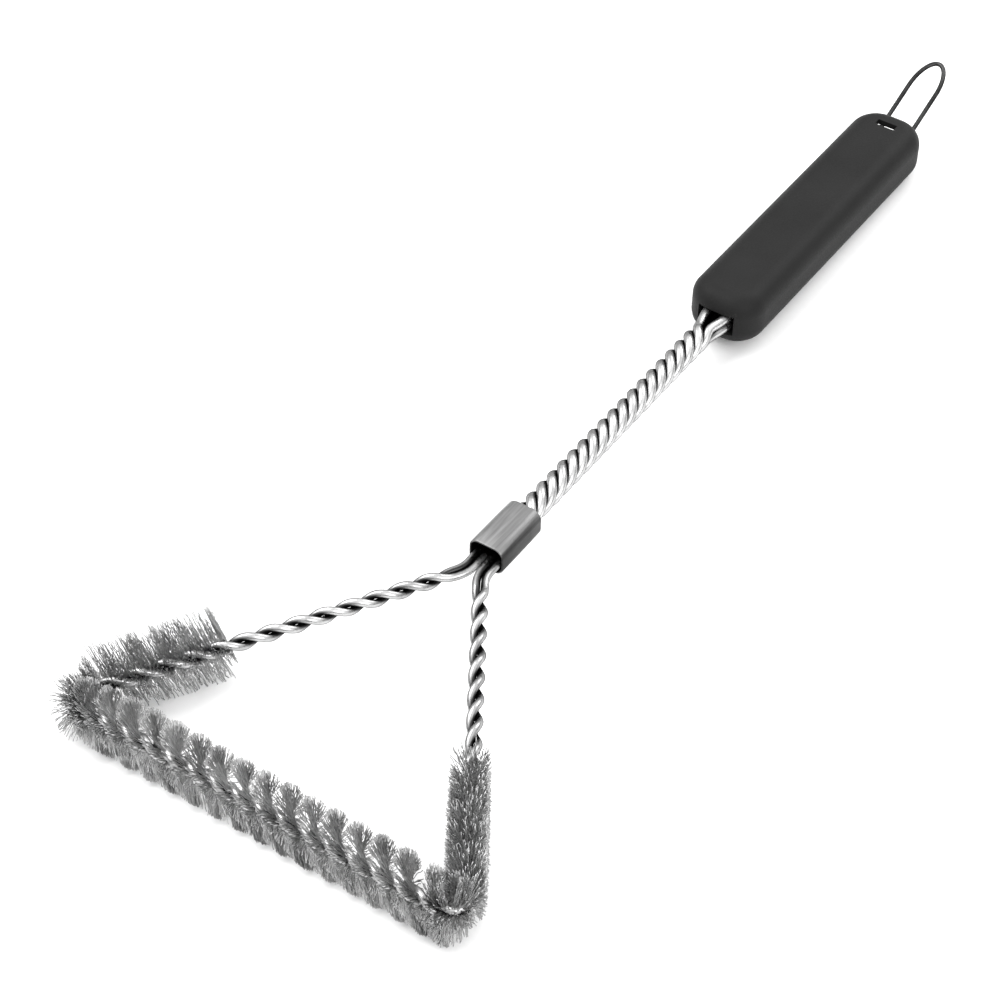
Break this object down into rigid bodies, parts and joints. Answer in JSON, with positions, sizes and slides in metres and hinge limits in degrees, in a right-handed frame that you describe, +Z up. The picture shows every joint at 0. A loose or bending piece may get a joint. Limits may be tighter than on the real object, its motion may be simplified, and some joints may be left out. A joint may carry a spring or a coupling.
{
  "type": "grill cleaning brush",
  "caption": "Grill cleaning brush: three-sided twisted-wire head with steel bristles, flat metal ferrule, twisted wire stem, moulded handle and pivoting wire hanging loop.",
  "frame": {"origin": "middle of the footprint on the table that the brush lies on", "axes": "+Y from the head to the hanging loop, +Z up, +X across the head"},
  "size_m": [0.1838, 0.501, 0.0328],
  "materials": {
    "core_steel": "satin",
    "stem_steel": "satin",
    "bristle_steel": "satin",
    "ferrule_metal": "satin",
    "handle_plastic": "matte",
    "loop_steel": "satin"
  },
  "bodies": {
    "brush": {"left_arm_wire_1": "core_steel", "left_arm_wire_2": "core_steel", "right_arm_wire_1": "core_steel", "right_arm_wire_2": "core_steel", "front_wire_1": "core_steel", "front_wire_2": "core_steel", "left_corner_wire_1": "core_steel", "left_corner_wire_2": "core_steel", "right_corner_wire_1": "core_steel", "right_corner_wire_2": "core_steel", "stem_strand_1": "stem_steel", "stem_strand_2": "stem_steel", "stem_strand_3": "stem_steel", "stem_strand_4": "stem_steel", "front_bristles": "bristle_steel", "left_arm_bristles": "bristle_steel", "right_arm_bristles": "bristle_steel", "left_corner_bristles": "bristle_steel", "right_corner_bristles": "bristle_steel", "ferrule": "ferrule_metal", "handle": "handle_plastic"},
    "loop": {"hanging_loop": "loop_steel"}
  },
  "joints": [
    {"name": "loop_pivot", "type": "hinge", "parent": "brush", "child": "loop", "pos_m": [0, 0.2071, 0.01144], "axis": [1, 0, 0], "range_deg": [-56, 40]}
  ]
}
